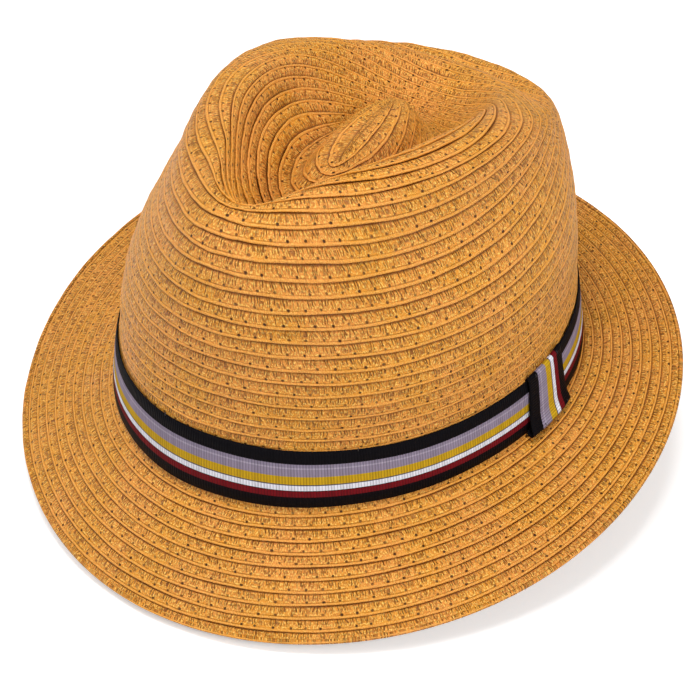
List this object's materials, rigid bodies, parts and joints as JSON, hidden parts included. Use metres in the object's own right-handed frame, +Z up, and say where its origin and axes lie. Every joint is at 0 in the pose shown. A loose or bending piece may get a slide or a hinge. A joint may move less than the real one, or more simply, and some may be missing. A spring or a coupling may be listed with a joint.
{
  "type": "fedora hat",
  "caption": "Fedora hat of sewn paper braid with a teardrop crown, a snapped brim, a striped ribbon with a flat keeper, and a cloth sweatband.",
  "frame": {"origin": "centre of the head opening, on the head line where the crown meets the brim", "axes": "+Z up through the crown, -Y the way the wearer faces, +X the wearer's left"},
  "size_m": [0.2628, 0.2645, 0.1492],
  "materials": {
    "braid": "woven paper braid, satin",
    "wire": "bright drawn wire",
    "wire_sleeve": "satin",
    "ribbon": "ribbed grosgrain, striped",
    "black_thread": "twisted thread",
    "sweatband_cloth": "cotton twill",
    "tape": "ribbed tape",
    "tag": "woven satin",
    "tan_thread": "twisted thread"
  },
  "bodies": {
    "root": {"crown_braid": "braid", "brim_braid": "braid", "brim_edge_wire": "wire", "wire_sleeve": "wire_sleeve", "ribbon_band": "ribbon", "ribbon_keeper": "ribbon", "ribbon_tacks": "black_thread", "keeper_tacks": "black_thread", "sweatband": "sweatband_cloth", "sweatband_join_tape": "tape", "size_tag": "tag", "sweatband_stitches": "tan_thread"}
  },
  "joints": []
}
